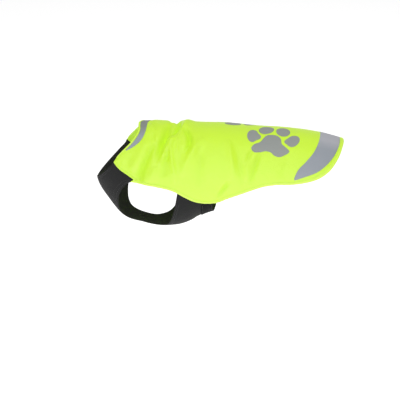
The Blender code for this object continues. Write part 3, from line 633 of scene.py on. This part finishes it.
# Round the tape's section: share of the width from the inner edge, place past the cloth's edge,
# height over the cloth's inner side, and share of the draw.
TAPE_SECTION = [
    (0.00, 0.0, tape_out, 0.0), (0.01, 0.0, tape_out + 0.7 * TAPE_THICK, 0.2),
    (0.10, 0.0, tape_out + 1.1 * TAPE_THICK, 0.4), (0.20, 0.0, tape_out + 0.3 * TAPE_THICK, 1.0),
    (0.32, 0.0, tape_out + 1.1 * TAPE_THICK, 0.4), (0.60, 0.0, tape_out + 1.8 * TAPE_THICK, 0.1),
    (0.88, 0.0, tape_out + 1.7 * TAPE_THICK, 0.0), (1.00, 0.4 * TAPE_NOSE, tape_out + TAPE_THICK, 0.0),
    (1.00, 0.9 * TAPE_NOSE, CLOTH_OUT, 0.0), (1.00, TAPE_NOSE, 0.5 * (CLOTH_OUT + CLOTH_IN), 0.0),
    (1.00, 0.9 * TAPE_NOSE, CLOTH_IN - 2 * TAPE_LIFT, 0.0),
    (1.00, 0.3 * TAPE_NOSE, CLOTH_IN - TAPE_THICK, 0.0), (0.80, 0.0, CLOTH_IN - 1.3 * TAPE_THICK, 0.0),
    (0.30, 0.0, CLOTH_IN - TAPE_THICK, 0.0), (0.02, 0.0, CLOTH_IN - 0.8 * TAPE_THICK, 0.0),
    (0.00, 0.0, CLOTH_IN - TAPE_LIFT, 0.0),
]


def edge_tape(name, edge_line, inner_line, finish):
    """A folded tape round an edge, soft and slightly drawn in at each stitch."""
    edge, edge_out = worn_surface(*edge_line.T)
    inner, inner_out = worn_surface(*inner_line.T)
    away = edge - inner
    width = np.linalg.norm(away, axis=1)[:, None]
    away /= width
    run = run_along(edge)
    drawn = TAPE_DRAW * np.cos(2 * np.pi * run / STITCH_PITCH)[:, None]
    rows = []
    for share, past, height, draw in TAPE_SECTION:
        base = inner + away * (width * share + past)
        out = inner_out * (1 - share) + edge_out * share
        rows.append(base + out * (height + drawn * draw))
    around = len(TAPE_SECTION)
    last = (len(edge) - 1) * around
    following = [a + 1 if (a + 1) % around else a + 1 - around for a in range(last)]
    faces = [(a, a + around, b + around, b) for a, b in enumerate(following)]
    faces += [tuple(range(around)), tuple(range(last + around - 1, last - 1, -1))]
    over = np.linspace(0, TAPE_ROUND * width.mean(), around)
    lay = np.stack([np.repeat(run, around), np.tile(over, len(edge))], axis=1)
    return link(name, np.stack(rows, axis=1).reshape(-1, 3), faces, finish, lay)


def stitch_row(name, line, height, finish, creased=True):
    """A row of machine stitches along a pattern line: small rounded threads that dip at their ends."""
    base, out = worn_surface(*line.T, creased)
    base = base + out * np.broadcast_to(height, len(line))[:, None]
    run = run_along(base)
    starts = np.arange(0.3 * STITCH_PITCH, run[-1] - STITCH_LENGTH, STITCH_PITCH)
    centres, outs = [], []
    for share in np.linspace(0, 1, len(STITCH_FORM)):
        at = starts + STITCH_LENGTH * share
        centres.append(np.stack([np.interp(at, run, base[:, i]) for i in range(3)], axis=1))
        outs.append(np.stack([np.interp(at, run, out[:, i]) for i in range(3)], axis=1))
    tangent = centres[-1] - centres[0]
    tangent /= np.linalg.norm(tangent, axis=1)[:, None]
    points = []
    for centre, outward, (dip, thick) in zip(centres, outs, STITCH_FORM):
        side = np.cross(tangent, outward)
        for turn in np.arange(STITCH_SIDES) * 2 * np.pi / STITCH_SIDES:
            ring = outward * (dip + thick * np.sin(turn)) + side * thick * np.cos(turn)
            points.append(centre + ring * THREAD_RADIUS)
    last = len(points) - STITCH_SIDES
    one = [(a + i, a + j, a + STITCH_SIDES + j, a + STITCH_SIDES + i) for a in range(0, last, STITCH_SIDES)
           for i, j in zip(range(STITCH_SIDES), np.roll(range(STITCH_SIDES), -1))]
    one += [tuple(range(STITCH_SIDES))[::-1], tuple(range(last, len(points)))]
    faces = [tuple(len(points) * n + i for i in face) for n in range(len(starts)) for face in one]
    return link(name, np.stack(points, axis=1).reshape(-1, 3), faces, finish)


def binding_tape():
    """Yellow twill tape, a little glossier than the cloth, with its ribs across the fold; its yellow is
    painted lighter than the cloth's as a painted highlight along the bound edges, and it has a painted glow.
    """
    # The lighter yellow is a painted highlight for the bound edges' bright rim, and the emission is a painted
    # glow.
    finish, tree, shader = new_finish("yellow_binding_tape", (0.60, 0.86, 0.040), {
        "Roughness": 0.42, "Specular IOR Level": 1.0, "IOR": 1.64, "Sheen Weight": 0.1,
        "Emission Color": (0.54, 0.82, 0.0, 1.0), "Emission Strength": 0.20})
    _, x, y = map_values(tree, "cloth")
    add_bump(tree, shader, plain_weave(tree, x, y, thread=0.0006), 0.00008)
    return finish


def sewing_thread(name, colour):
    """Twisted polyester thread."""
    finish, tree, shader = new_finish(name, colour, {"Roughness": 0.5, "Sheen Weight": 0.3})
    twist = add_node(tree, "ShaderNodeTexWave", in_Scale=900.0, bands_direction="DIAGONAL")
    place = tree.nodes.new("ShaderNodeTexCoord")
    tree.links.new(place.outputs["Object"], twist.inputs["Vector"])
    add_bump(tree, shader, twist.outputs["Fac"], 0.00005)
    return finish


tape_finish = binding_tape()
yellow_thread = sewing_thread("yellow_thread", (0.50, 0.78, 0.02))
on_tape = tape_out + 0.5 * TAPE_THICK

hem_half = left_line(LOWER_EDGE, TAPE_STEP)
hem_lines = []
for inset, tip_length in ((0.0, HEM_TAPE_TIP), (HEM_TAPE_WIDTH, 0.1 * HEM_TAPE_TIP)):
    line = over_the_spine(inset_line(hem_half, inset))
    ahead = (line[0] - line[4]) / np.linalg.norm(line[0] - line[4])
    tip = line[0] + ahead * tip_length * np.linspace(1, 0.2, 5)[:, None]
    hem_lines.append(np.concatenate([tip, line, (tip * (1, -1))[::-1]]))
hem_tape = edge_tape("hem_tape", *hem_lines, tape_finish)
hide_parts("hem_binding")
hem_sewn = over_the_spine(inset_line(hem_half, HEM_TAPE_WIDTH - HEM_STITCH_INSET))
hem_stitches = stitch_row("hem_stitches", hem_sewn, on_tape, yellow_thread)

seam_sewn = inset_line(left_line(FRONT_SEAM, TAPE_STEP), SEAM_STITCH_INSET)
seam_stitches = [stitch_row(f"front_seam_stitches_{side}", seam_sewn * (1, sign), CLOTH_OUT, yellow_thread)
                 for side, sign in (("left", 1), ("right", -1))]

neck_half = left_line(NECK_EDGE, TAPE_STEP)
bound = neck_half[:, 1] > -NECK_TAPE_END
neck_edge, neck_inner, neck_sewn = [over_the_spine(inset_line(neck_half, inset)[bound][::-1])
                                    for inset in (0.0, NECK_TAPE_WIDTH, NECK_TAPE_WIDTH - NECK_STITCH_INSET)]
neck_tape = edge_tape("neck_tape", neck_edge, neck_inner, tape_finish)
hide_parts("neck_binding")
neck_stitches = stitch_row("neck_stitches", neck_sewn, on_tape, yellow_thread)

# ================================================================ reflective bands
# Crescents of grey reflective cloth, a layer of tiny glass beads on a woven back. One follows the
# neck edge and one the rear hem, each sewn flat on the back panel with grey thread near its edges.
BAND_LIFT = 0.00012
BAND_THICK = 0.00045
BAND_SPACING = 0.0030
BAND_STITCH_INSET = 0.0016
COLLAR_MARGIN = 0.0045                  # from the neck edge
COLLAR_REAR = [(0.0245, 0.000), (0.0272, 0.020), (0.0318, 0.042), (0.0345, 0.062), (0.033, 0.080),
               (0.027, 0.094), (0.016, 0.109)]
TAIL_FRONT = [(0.4895, 0.000), (0.4890, 0.024), (0.4855, 0.050), (0.4745, 0.082), (0.458, 0.107),
              (0.437, 0.134), (0.429, 0.155)]
TAIL_REAR = [(0.543, 0.000), (0.542, 0.030), (0.5305, 0.073), (0.510, 0.106), (0.484, 0.131),
             (0.458, 0.146), (0.430, 0.160)]
PAINTED_TOP_REACH = 0.06                        # how far round from the spine the top's grey, painted for how light falls there, reaches
PAINTED_TOP_BLEND = 25.0                        # the blend from it to the flanks' grey, per metre


def beaded_tape(name, painted_top_grey, on_flanks):
    """Reflective cloth: a fine even grain of glass beads, with one grey on the flanks and another painted on
    top for how the light falls there.
    """
    finish, tree, shader = new_finish(name, on_flanks, {
        "Roughness": 0.5, "Metallic": 0.15, "Specular IOR Level": 0.3})
    uv, _, round_from_spine = map_values(tree, "cloth")
    beads = add_node(tree, "ShaderNodeTexVoronoi", in_Scale=2600.0, in_Randomness=0.6)
    tree.links.new(uv, beads.inputs["Vector"])
    add_bump(tree, shader, beads.outputs["Distance"], 0.00008)
    # Painted light: near the spine the base colour blends to the top's painted grey.
    to_edge = maths(tree, "SUBTRACT", PAINTED_TOP_REACH, maths(tree, "ABSOLUTE", round_from_spine))
    top = maths(tree, "MAXIMUM", maths(tree, "MULTIPLY", to_edge, PAINTED_TOP_BLEND), 0.0)
    mottle = maths(tree, "MULTIPLY", noise_at(tree, uv, in_Scale=60.0, in_Detail=3.0), 0.2)
    tinted(tree, shader, maths(tree, "ADD", top, mottle), on_flanks, painted_top_grey)
    add_bump(tree, shader, noise_at(tree, uv, in_Scale=260.0, in_Detail=2.0), 0.0002)
    return finish


def laid_on(name, outline, spacing, finish, lift=BAND_LIFT, thick=BAND_THICK):
    """A flat piece that lies on the back panel's outer face."""
    rows = np.arange(outline[:, 0].min(), outline[:, 0].max(), ROW_SPACING * spacing)
    net, faces = cloth_net(outline, spacing, rows)
    points, out = worn_surface(*net.T)
    return two_faced(name, net, faces, points, out, CLOTH_OUT + lift, CLOTH_OUT + lift + thick, finish)


# The top's grey is painted light on the tail band, lighter than its flanks; on the collar the top is painted
# darker than the flanks, and on the prints the two greys nearly agree.
band_finish = beaded_tape("reflective_grey_tape", (0.480, 0.485, 0.525), (0.330, 0.360, 0.400))
collar_finish = beaded_tape("reflective_grey_collar", (0.270, 0.297, 0.272), (0.350, 0.388, 0.440))
grey_thread = sewing_thread("grey_thread", (0.40, 0.41, 0.42))
collar_front = inset_line(left_line(NECK_EDGE, BAND_SPACING), COLLAR_MARGIN)
collar_front = collar_front[collar_front[:, 1] > -COLLAR_REAR[-1][1] + 0.5 * BAND_SPACING]
collar_rear, tail_front, tail_rear = [left_line(table, BAND_SPACING)
                                      for table in (COLLAR_REAR, TAIL_FRONT, TAIL_REAR)]
for name, node, front, rear, finish in (
        ("collar_crescent", "collar_band", collar_front, collar_rear, collar_finish),
        ("tail_crescent", "tail_band", tail_front, tail_rear, band_finish)):
    outline = closed_over_the_spine(np.concatenate([front, rear[::-1]]))
    crescent = laid_on(name, outline, BAND_SPACING, finish)
    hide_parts(node)

on_band = CLOTH_OUT + BAND_LIFT + BAND_THICK
for name, line, side in (
        ("collar_stitches_front", collar_front, 1), ("collar_stitches_rear", collar_rear, -1),
        ("tail_stitches_front", tail_front, 1), ("tail_stitches_rear", tail_rear, -1)):
    sewn = over_the_spine(inset_line(line[:-2], side * BAND_STITCH_INSET)[::-1])
    stitch_row(name, sewn, on_band, grey_thread)

# ================================================================ paw prints
# Two paw prints of grey reflective film, pressed on the back panel on either side of the spine:
# the left one with its toes up to the spine, the right one farther forward with its toes forward.
PRINT_SPACING = 0.0022
PRINT_LIFT = 0.00016
PRINT_THICK = 0.00022
POINT_SHARPNESS = 30                    # the larger, the narrower a toe's point
#      name,  across,     up, half across, half up, turn in degrees, point, where the point aims
PAW_TOES = [
    ("toe_1", -0.0552, 0.0150, 0.0144, 0.0262, -8.0, 0.58, -12.0),
    ("toe_2", -0.0250, 0.0490, 0.0196, 0.0236, 14.0, 0.00, 0.0),
    ("toe_3", 0.0203, 0.0488, 0.0184, 0.0242, -14.0, 0.00, 0.0),
    ("toe_4", 0.0530, 0.0150, 0.0155, 0.0222, 16.0, 0.38, 208.0),
]
PAW_PAD = [(-0.005, 0.0255), (0.009, 0.0240), (0.020, 0.0140), (0.026, -0.003), (0.040, -0.0125),
           (0.049, -0.0205), (0.038, -0.0340), (0.024, -0.0415), (0.012, -0.0395), (0.002, -0.0330),
           (-0.010, -0.0320), (-0.026, -0.0370), (-0.040, -0.0395), (-0.0495, -0.0300), (-0.045, -0.0180),
           (-0.031, -0.0075), (-0.024, 0.0090), (-0.018, 0.0205)]
#     name, side,      s,    |g|,  lean in degrees
PAWS = [
    ("left", -1, 0.3665, 0.0600, 6.0),
    ("right", 1, 0.2775, 0.0735, -100.0),
]


def smooth_loop(points, step):
    """A smooth closed line through the points, with a point about every step."""
    p = np.array(points[-2:] + points + points[:3])
    run = run_along(p)
    count = int(round((run[-3] - run[2]) / step))
    return smooth_rows(p, run, np.linspace(run[2], run[-3], count, endpoint=False))


def turned(x, y, degrees):
    """Points turned about the middle."""
    turn = np.radians(degrees)
    return x * np.cos(turn) + y * np.sin(turn), y * np.cos(turn) - x * np.sin(turn)


def toe_outline(across, up, half_across, half_up, turn, point, aim):
    """An oval toe; the outer ones run to a blunt point at the pad."""
    count = int(np.pi * (half_across + half_up) / PRINT_SPACING)
    from_aim = np.linspace(0, 2 * np.pi, count, endpoint=False)
    angle = np.radians(aim) + from_aim
    bulge = 1 + point * ((1 + np.cos(from_aim)) / 2)**POINT_SHARPNESS
    x, y = turned(half_across * bulge * np.cos(angle), half_up * bulge * np.sin(angle), turn)
    return across + x, up + y


print_finish = beaded_tape("reflective_grey_print", (0.330, 0.350, 0.335), (0.335, 0.355, 0.340))
print_shapes = [("pad", smooth_loop(PAW_PAD, PRINT_SPACING).T)]
print_shapes += [(toe, toe_outline(*sizes)) for toe, *sizes in PAW_TOES]
for paw, side, s, g, lean in PAWS:
    for part, (across, up) in print_shapes:
        x, y = turned(across, up, lean)
        outline = np.stack([s + x, side * (g - y)], axis=1)
        film = laid_on(f"{paw}_paw_{part}", outline, PRINT_SPACING, print_finish, PRINT_LIFT, PRINT_THICK)
        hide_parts(f"paw_{paw}_{part}")

# ================================================================ chest and belly panel
# A smooth black stretch knit in one piece: up to the throat, down the chest and round the belly,
# with two leg openings. Its front edges are sewn under the back panel's front seams, its raw edges
# are turned once and sewn with two rows, and its wings lie inside the flanks.
KNIT_THICK = 0.0011
KNIT_SPACING = 0.0032
KNIT_GAP = 0.0003
KNIT_STITCH_INSETS = (0.0030, 0.0070)
STRAP_REAR = 0.2335
WING_TOP = 0.203
# How much deeper the knit lies under the binding and under the strap, and from where to where.
UNDER_BINDING = (0.0013, 0.020, 0.040)
UNDER_STRAP = (0.0023, 0.1865, 0.2005)
CHEST_FRONT = [(0.0070, 0.142), (0.009, 0.150), (0.007, 0.178), (0.003, 0.215), (0.000, 0.250)]
CHEST_UNDER_SEAM = [(0.0070, 0.142), (0.022, 0.157), (0.036, 0.168), (0.054, 0.181)]
# From the front seam round the leg opening to the top of the belly wing, as (s, distance from keel).
LEG_OPENING = [(0.0590, 0.1965), (0.0505, 0.1770), (0.0466, 0.1530), (0.0447, 0.1200), (0.0470, 0.0940),
               (0.0515, 0.0700), (0.0570, 0.0530), (0.0670, 0.0400), (0.0900, 0.0320), (0.112, 0.034),
               (0.130, 0.047), (0.141, 0.070), (0.147, 0.105), (0.150, 0.160)]


def growing(s, amount, start, end):
    """Nothing before start, the whole amount after end, and an even rise between them."""
    t = np.clip((s - start) / (end - start), 0, 1)
    return amount * t * t * (3 - 2 * t)


def knit_outer(s):
    """Height of the knit's outer face over the worn form: it lies inside it."""
    return -(KNIT_GAP + growing(s, *UNDER_BINDING) + growing(s, *UNDER_STRAP))


keel = ring_point(s_steps, np.full_like(s_steps, np.pi))
keel_run = run_along(keel)


def keel_points(first, last, step):
    """Even points along the keel, as left-hand pattern points."""
    a, b = np.interp([first, last], s_steps, keel_run)
    s = np.interp(np.linspace(a, b, max(2, int((b - a) / step) + 1)), keel_run, s_steps)
    return np.stack([s, -half_girth(s)], axis=1)


def straight_edges(corners):
    """Straight edges from corner to corner, up to the last corner but without it."""
    return np.concatenate([smooth_line(ends, KNIT_SPACING)[:-1] for ends in zip(corners, corners[1:])])


def knit_piece(name, outline, low, high, finish):
    """Both halves of a piece under the belly, welded at the keel; low and high are from the knit's face."""
    net, faces = cloth_net(outline, KNIT_SPACING, knit_rows)
    points, out = worn_surface(*net.T, creased=False)
    points[:, 1] = np.where(net[:, 1] < KEEL_TOLERANCE - half_girth(net[:, 0]), 0.0, points[:, 1])
    count = len(net)
    on_keel = np.flatnonzero(points[:, 1] == 0.0)
    other = np.arange(count) + count
    other[on_keel] = on_keel
    used = np.setdiff1d(np.arange(2 * count), on_keel + count)
    place = np.zeros(2 * count, int)
    place[used] = np.arange(len(used))
    both = place[np.concatenate([faces, other[faces[:, ::-1]]])]
    mirror = (1, -1, 1)
    points = np.concatenate([points, points * mirror])[used]
    out = np.concatenate([out, out * mirror])[used]
    lay = np.stack([np.interp(net[:, 0], s_steps, keel_run), half_girth(net[:, 0]) + net[:, 1]], axis=1)
    face = knit_outer(np.concatenate([net[:, 0], net[:, 0]])[used])
    return two_faced(name, both_sides(lay)[used], both, points, out, face + low, face + high, finish)


def black_knit():
    """Black stretch knit: fine wales, a dull nap that catches a little light, and soft pulls."""
    finish, tree, shader = new_finish("black_stretch_cloth", (0.018, 0.018, 0.0185), {
        "Roughness": 0.8, "Specular IOR Level": 0.2, "Sheen Weight": 0.04, "Sheen Roughness": 0.5})
    uv, x, y = map_values(tree, "cloth")
    loops = maths(tree, "MULTIPLY", waves(tree, x, 0.00035), 0.3)
    wales = maths(tree, "ABSOLUTE", waves(tree, y, 0.0009))
    pulls = noise_at(tree, uv, in_Scale=70.0, in_Detail=3.0)
    add_bump(tree, shader, loops, 0.0001)
    add_bump(tree, shader, wales, 0.00012)
    add_bump(tree, shader, pulls, 0.0006)
    tinted(tree, shader, pulls, (0.016, 0.016, 0.0165), (0.020, 0.020, 0.0205))
    return finish


front_points = np.concatenate([np.array(CHEST_FRONT) * (1, -1), [(0.0, -half_girth(0.0))]])
front_line = smooth_line(front_points, KNIT_SPACING)
leg_points = np.array(LEG_OPENING)
leg_points[:, 1] -= half_girth(leg_points[:, 0])
leg_line = smooth_line(leg_points, KNIT_SPACING)
seam_line = left_line(CHEST_UNDER_SEAM, KNIT_SPACING)
keel_line = keel_points(0.0, STRAP_REAR, KNIT_SPACING)
knit_rows = keel_points(FIRST_ROW, STRAP_REAR - FIRST_ROW, KNIT_SPACING)[:, 0]
wing_corners = [keel_line[-1], (STRAP_REAR, -WING_TOP), (leg_points[-1, 0], -WING_TOP), leg_line[-1]]
knit_outline = np.concatenate([front_line[:-1], keel_line[:-1], straight_edges(wing_corners), leg_line[:0:-1],
                               straight_edges([leg_line[0], seam_line[-1]]), seam_line[:0:-1]])
chest = knit_piece("chest_knit", knit_outline, -KNIT_THICK, 0.0, black_knit())
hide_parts("chest_panel")

black_thread = sewing_thread("black_thread", (0.045, 0.045, 0.047))
for edge, points, inward in (("leg", leg_points, -1), ("throat", front_points[2:], 1)):
    for row, inset in enumerate(KNIT_STITCH_INSETS):
        sewn = inset_line(smooth_line(points, EDGE_STEP), inward * inset)
        for side, sign in (("left", 1), ("right", -1)):
            stitch_row(f"{edge}_stitches_{row + 1}_{side}", sewn * (1, sign),
                                            knit_outer(sewn[:, 0]), black_thread, creased=False)

# ================================================================ belly strap
# Black ribbed webbing, 25 mm wide, that holds the vest under the belly. It is sewn flat along the
# belly panel's rear edge and up both wings, with a row of black stitches near each of its edges.
STRAP_WIDTH = 0.025
STRAP_THICK = 0.0018
STRAP_STITCH_INSET = 0.0025


def black_webbing():
    """Woven webbing: strong ribs along its length and a fine pick across."""
    finish, tree, shader = new_finish("black_webbing", (0.010, 0.010, 0.010), {
        "Roughness": 0.75, "Specular IOR Level": 0.12})
    _, x, y = map_values(tree, "cloth")
    ribs = maths(tree, "ABSOLUTE", waves(tree, x, 0.0016))
    picks = maths(tree, "ABSOLUTE", waves(tree, y, 0.0011))
    add_bump(tree, shader, maths(tree, "ADD", ribs, maths(tree, "MULTIPLY", picks, 0.5)), 0.0003)
    return finish


strap_front = STRAP_REAR - STRAP_WIDTH
strap_keel = keel_points(strap_front, STRAP_REAR, KNIT_SPACING)
strap_corners = [strap_keel[-1], (STRAP_REAR, -WING_TOP), (strap_front, -WING_TOP), strap_keel[0]]
strap_outline = np.concatenate([strap_keel[:-1], straight_edges(strap_corners)])
strap_top = KNIT_GAP + STRAP_THICK
strap = knit_piece("belly_webbing", strap_outline, KNIT_GAP, strap_top, black_webbing())
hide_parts("belly_strap")

for edge, s in (("front", strap_front + STRAP_STITCH_INSET), ("rear", STRAP_REAR - STRAP_STITCH_INSET)):
    sewn = smooth_line([(s, -half_girth(s)), (s, -WING_TOP)], EDGE_STEP)
    for side, sign in (("left", 1), ("right", -1)):
        stitch_row(f"strap_stitches_{edge}_{side}", sewn * (1, sign),
                                         knit_outer(sewn[:, 0]) + strap_top, black_thread, creased=False)
